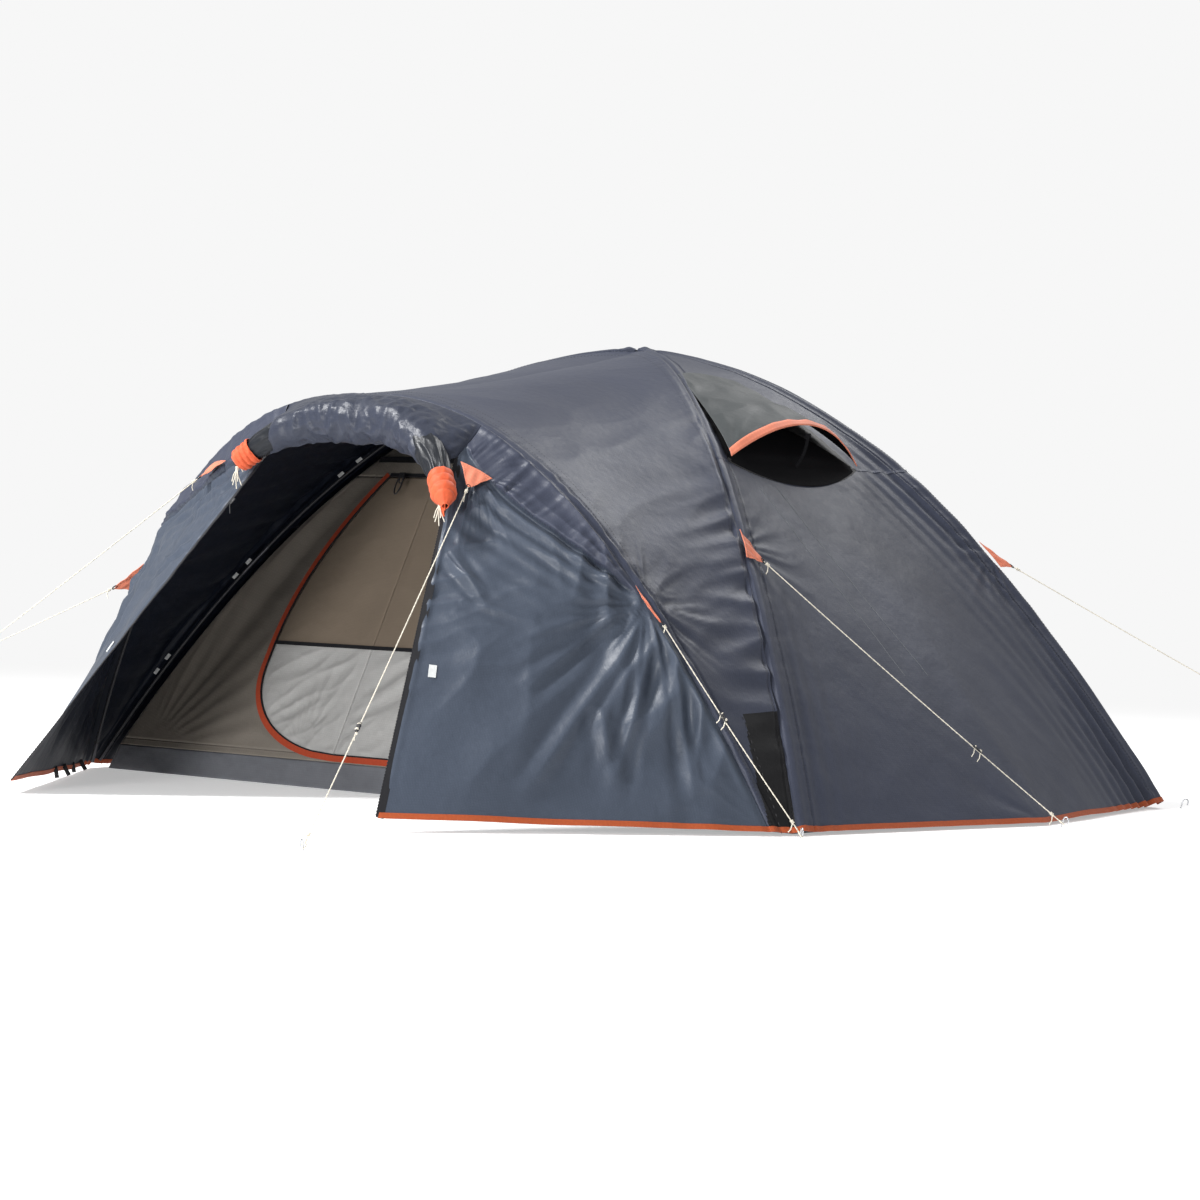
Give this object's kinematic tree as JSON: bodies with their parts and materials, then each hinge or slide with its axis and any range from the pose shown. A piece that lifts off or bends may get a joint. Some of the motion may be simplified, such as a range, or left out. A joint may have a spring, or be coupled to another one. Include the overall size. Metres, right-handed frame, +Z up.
{
  "type": "dome tent",
  "caption": "Dome tent with crossed main poles, a poled front porch, rolled fly door, propped side vents, guylines and an inner tent with a bathtub floor and a folding D-door.",
  "frame": {"origin": "on the ground, at the centre of the sleeping floor's underside", "axes": "+Z up; the porch and both doors face -Y; +X is the tent's right-hand side"},
  "size_m": [3.8364, 3.9872, 1.4647],
  "materials": {
    "black_plastic": "moulded black",
    "coral_tape": "coral orange reinforcement fabric",
    "cord": "braided off-white cord",
    "door_fabric": "breathable polyester and mesh",
    "fly": "coated polyester taffeta, slight sheen",
    "inner_fabric": "breathable polyester, matte",
    "mesh": "black insect mesh",
    "pole": "fibreglass, dark",
    "steel": "plated steel wire",
    "tub_fabric": "coated floor fabric"
  },
  "bodies": {
    "root": {"bathtub_floor": "tub_fabric", "fly_dome": "fly", "fly_front_left": "fly", "fly_front_right": "fly", "fly_porch_roof": "fly", "guy_tab_back_left": "coral_tape", "guy_tab_back_right": "coral_tape", "guy_tab_front_left": "coral_tape", "guy_tab_front_right": "coral_tape", "guy_tab_middle_left": "coral_tape", "guy_tab_middle_right": "coral_tape", "guy_tab_porch_left": "coral_tape", "guy_tab_porch_right": "coral_tape", "guyline_back_left": "cord", "guyline_back_right": "cord", "guyline_front_left": "cord", "guyline_front_right": "cord", "guyline_middle_left": "cord", "guyline_middle_right": "cord", "guyline_porch_left": "cord", "guyline_porch_right": "cord", "inner_canopy": "inner_fabric", "main_pole_over": "pole", "main_pole_under": "pole", "porch_pole": "pole", "roll_tie_left": "coral_tape", "roll_tie_right": "coral_tape", "rolled_fly_door": "fly", "vent_mesh_left": "mesh", "vent_mesh_right": "mesh"},
    "inner_door_hinge_side": {"inner_door_hinge_side": "door_fabric"},
    "inner_door_middle": {"inner_door_middle": "door_fabric"},
    "inner_door_free_side": {"inner_door_free_side": "door_fabric"},
    "hanging_hook": {"hanging_hook": "black_plastic"},
    "vent_hood_right": {"vent_hood_right": "fly"},
    "vent_prop_right": {"vent_prop_right": "black_plastic"},
    "vent_hood_left": {"vent_hood_left": "fly"},
    "vent_prop_left": {"vent_prop_left": "black_plastic"},
    "runner_front_right": {"runner_front_right": "black_plastic"},
    "runner_porch_right": {"runner_porch_right": "black_plastic"},
    "runner_middle_right": {"runner_middle_right": "black_plastic"},
    "runner_back_right": {"runner_back_right": "black_plastic"},
    "runner_front_left": {"runner_front_left": "black_plastic"},
    "runner_porch_left": {"runner_porch_left": "black_plastic"},
    "runner_middle_left": {"runner_middle_left": "black_plastic"},
    "runner_back_left": {"runner_back_left": "black_plastic"},
    "peg_guy_front_right": {"peg_guy_front_right": "steel"},
    "peg_guy_back_right": {"peg_guy_back_right": "steel"},
    "peg_guy_front_left": {"peg_guy_front_left": "steel"},
    "peg_guy_porch_left": {"peg_guy_porch_left": "steel"},
    "peg_guy_back_left": {"peg_guy_back_left": "steel"},
    "peg_corner_front_right": {"peg_corner_front_right": "steel"},
    "peg_side_right": {"peg_side_right": "steel"},
    "peg_side_left": {"peg_side_left": "steel"},
    "peg_corner_front_left": {"peg_corner_front_left": "steel"},
    "peg_corner_back_right": {"peg_corner_back_right": "steel"},
    "peg_corner_back_left": {"peg_corner_back_left": "steel"},
    "fly_zip_slider_right": {"fly_zip_slider_right": "black_plastic"},
    "fly_zip_slider_left": {"fly_zip_slider_left": "black_plastic"}
  },
  "joints": [
    {"name": "inner_door_fold_1", "type": "hinge", "parent": "root", "child": "inner_door_hinge_side", "pos_m": [0.4, -0.67767, 0.49973], "axis": [0, 0.4506, 0.8927], "range_deg": [0, 75]},
    {"name": "inner_door_fold_2", "type": "hinge", "parent": "inner_door_hinge_side", "child": "inner_door_middle", "pos_m": [0.02, -0.67767, 0.49973], "axis": [0, 0.4506, 0.8927], "range_deg": [-150, 0]},
    {"name": "inner_door_fold_3", "type": "hinge", "parent": "inner_door_middle", "child": "inner_door_free_side", "pos_m": [-0.36, -0.67767, 0.49973], "axis": [0, 0.4506, 0.8927], "range_deg": [0, 150]},
    {"name": "hook_swing", "type": "hinge", "parent": "inner_door_free_side", "child": "hanging_hook", "pos_m": [-0.46, -0.51296, 0.90729], "axis": [0, -0.8927, 0.4506], "range_deg": [-30, 30]},
    {"name": "hood_right_close", "type": "hinge", "parent": "root", "child": "vent_hood_right", "pos_m": [0.64798, -0.0898, 0.9734], "axis": [-0.0232, 0.9997, 0], "range_deg": [0, 110]},
    {"name": "prop_right_fold", "type": "hinge", "parent": "vent_hood_right", "child": "vent_prop_right", "pos_m": [0.68449, -0.08896, 1.05369], "axis": [0.9499, 0.022, -0.3117], "range_deg": [0, 90]},
    {"name": "hood_left_close", "type": "hinge", "parent": "root", "child": "vent_hood_left", "pos_m": [-0.64798, -0.0898, 0.9734], "axis": [-0.0232, -0.9997, 0], "range_deg": [0, 110]},
    {"name": "prop_left_fold", "type": "hinge", "parent": "vent_hood_left", "child": "vent_prop_left", "pos_m": [-0.68449, -0.08896, 1.05369], "axis": [-0.9499, 0.022, -0.3117], "range_deg": [0, 90]},
    {"name": "runner_front_right_slide", "type": "slide", "parent": "root", "child": "runner_front_right", "axis": [0.292, -0.7329, -0.6145], "range_m": [-0.9, 0.357]},
    {"name": "runner_porch_right_slide", "type": "slide", "parent": "root", "child": "runner_porch_right", "axis": [0.5741, 0.1784, -0.7991], "range_m": [-0.232, 0.295]},
    {"name": "runner_middle_right_slide", "type": "slide", "parent": "root", "child": "runner_middle_right", "axis": [0.5516, 0.5502, -0.6268], "range_m": [-0.721, 0.25]},
    {"name": "runner_back_right_slide", "type": "slide", "parent": "root", "child": "runner_back_right", "axis": [0.6533, 0.6057, -0.4543], "range_m": [-0.855, 0.553]},
    {"name": "runner_front_left_slide", "type": "slide", "parent": "root", "child": "runner_front_left", "axis": [-0.2898, -0.7379, -0.6095], "range_m": [-0.922, 0.367]},
    {"name": "runner_porch_left_slide", "type": "slide", "parent": "root", "child": "runner_porch_left", "axis": [-0.7253, -0.5268, -0.4432], "range_m": [-0.489, 0.609]},
    {"name": "runner_middle_left_slide", "type": "slide", "parent": "root", "child": "runner_middle_left", "axis": [-0.5516, 0.5502, -0.6268], "range_m": [-0.721, 0.25]},
    {"name": "runner_back_left_slide", "type": "slide", "parent": "root", "child": "runner_back_left", "axis": [-0.6533, 0.6057, -0.4543], "range_m": [-0.855, 0.553]},
    {"name": "peg_guy_front_right_pull", "type": "slide", "parent": "root", "child": "peg_guy_front_right", "axis": [0.0926, -0.2417, 0.9659], "range_m": [0, 0.18]},
    {"name": "peg_guy_back_right_pull", "type": "slide", "parent": "root", "child": "peg_guy_back_right", "axis": [0.198, 0.1667, 0.9659], "range_m": [0, 0.18]},
    {"name": "peg_guy_front_left_pull", "type": "slide", "parent": "root", "child": "peg_guy_front_left", "axis": [-0.0926, -0.2417, 0.9659], "range_m": [0, 0.18]},
    {"name": "peg_guy_porch_left_pull", "type": "slide", "parent": "root", "child": "peg_guy_porch_left", "axis": [-0.1855, -0.1805, 0.9659], "range_m": [0, 0.18]},
    {"name": "peg_guy_back_left_pull", "type": "slide", "parent": "root", "child": "peg_guy_back_left", "axis": [-0.198, 0.1667, 0.9659], "range_m": [0, 0.18]},
    {"name": "peg_corner_front_right_pull", "type": "slide", "parent": "root", "child": "peg_corner_front_right", "axis": [0.2069, -0.1555, 0.9659], "range_m": [0, 0.18]},
    {"name": "peg_side_right_pull", "type": "slide", "parent": "root", "child": "peg_side_right", "axis": [0.2588, 0, 0.9659], "range_m": [0, 0.18]},
    {"name": "peg_side_left_pull", "type": "slide", "parent": "root", "child": "peg_side_left", "axis": [-0.2588, 0, 0.9659], "range_m": [0, 0.18]},
    {"name": "peg_corner_front_left_pull", "type": "slide", "parent": "root", "child": "peg_corner_front_left", "axis": [-0.2069, -0.1555, 0.9659], "range_m": [0, 0.18]},
    {"name": "peg_corner_back_right_pull", "type": "slide", "parent": "root", "child": "peg_corner_back_right", "axis": [0.2069, 0.1555, 0.9659], "range_m": [0, 0.18]},
    {"name": "peg_corner_back_left_pull", "type": "slide", "parent": "root", "child": "peg_corner_back_left", "axis": [-0.2069, 0.1555, 0.9659], "range_m": [0, 0.18]},
    {"name": "fly_zip_right_travel", "type": "slide", "parent": "root", "child": "fly_zip_slider_right", "axis": [0.2201, -0.4929, -0.8418], "range_m": [0, 0.873]},
    {"name": "fly_zip_left_travel", "type": "slide", "parent": "root", "child": "fly_zip_slider_left", "axis": [-0.3551, -0.4723, -0.8067], "range_m": [0, 0.919]}
  ],
  "couplings": [
    {"joint": "inner_door_fold_2", "follows": "inner_door_fold_1", "ratio": -2},
    {"joint": "inner_door_fold_3", "follows": "inner_door_fold_1", "ratio": 2},
    {"joint": "prop_right_fold", "follows": "hood_right_close", "ratio": 0.81818},
    {"joint": "prop_left_fold", "follows": "hood_left_close", "ratio": 0.81818}
  ]
}
